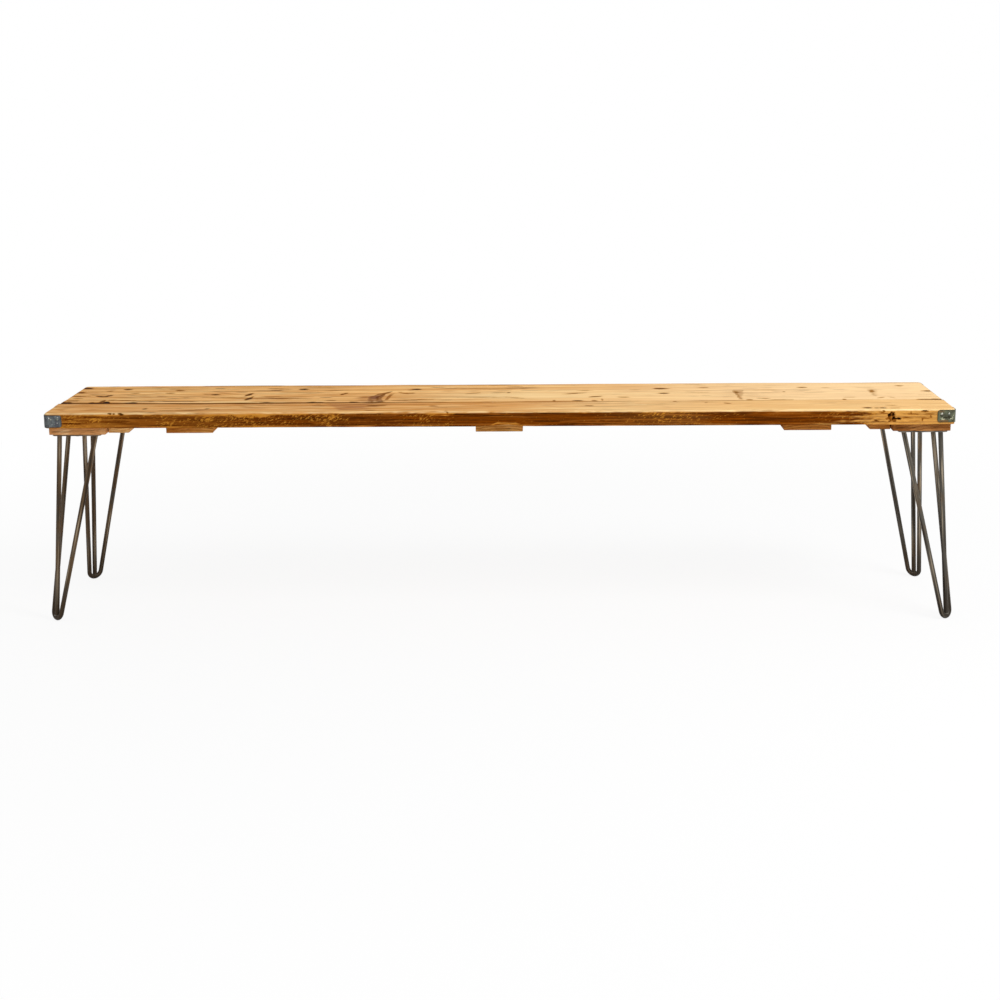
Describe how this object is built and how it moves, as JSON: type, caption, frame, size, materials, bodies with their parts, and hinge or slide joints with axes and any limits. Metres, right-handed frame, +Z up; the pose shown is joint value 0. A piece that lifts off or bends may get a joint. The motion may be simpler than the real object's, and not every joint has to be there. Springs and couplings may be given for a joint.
{
  "type": "plank bench",
  "caption": "Long low bench: old softwood boards on cross battens, folded iron corner guards and splayed hairpin legs of bent steel rod.",
  "frame": {"origin": "on the floor, under the middle of the seat", "axes": "+X along the seat to the right as seen from the pictured front, -Y towards that front, +Z up"},
  "size_m": [1.913, 0.353, 0.449],
  "materials": {
    "seat_wood": "old softwood, brushed and waxed, honey brown",
    "batten_wood": "old sawn softwood, waxed, mid brown",
    "block_wood": "sawn softwood, waxed, mid brown",
    "leg_steel": "hot-rolled rod with mill scale, clear lacquer, satin",
    "blue_iron": "old blue-grey paint, chipped",
    "green_iron": "old green-grey paint, chipped and rusty",
    "nail_steel": "worn bright nail heads",
    "screw_steel": "zinc plated"
  },
  "bodies": {
    "root": {"front_board": "seat_wood", "back_board": "seat_wood", "left_batten": "batten_wood", "middle_batten": "batten_wood", "right_batten": "batten_wood", "left_inner_batten": "batten_wood", "right_inner_batten": "batten_wood", "left_end_block": "block_wood", "right_end_block": "block_wood", "front_left_leg_plate": "leg_steel", "front_right_leg_plate": "leg_steel", "back_right_leg_plate": "leg_steel", "back_left_leg_plate": "leg_steel", "front_left_hairpin": "leg_steel", "front_right_hairpin": "leg_steel", "back_right_hairpin": "leg_steel", "back_left_hairpin": "leg_steel", "front_left_corner_rod": "leg_steel", "front_right_corner_rod": "leg_steel", "back_right_corner_rod": "leg_steel", "back_left_corner_rod": "leg_steel", "front_left_iron": "blue_iron", "back_left_iron": "blue_iron", "front_right_iron": "green_iron", "back_right_iron": "green_iron", "corner_iron_nails": "nail_steel", "leg_plate_screws": "screw_steel", "batten_screws": "screw_steel"}
  },
  "joints": []
}
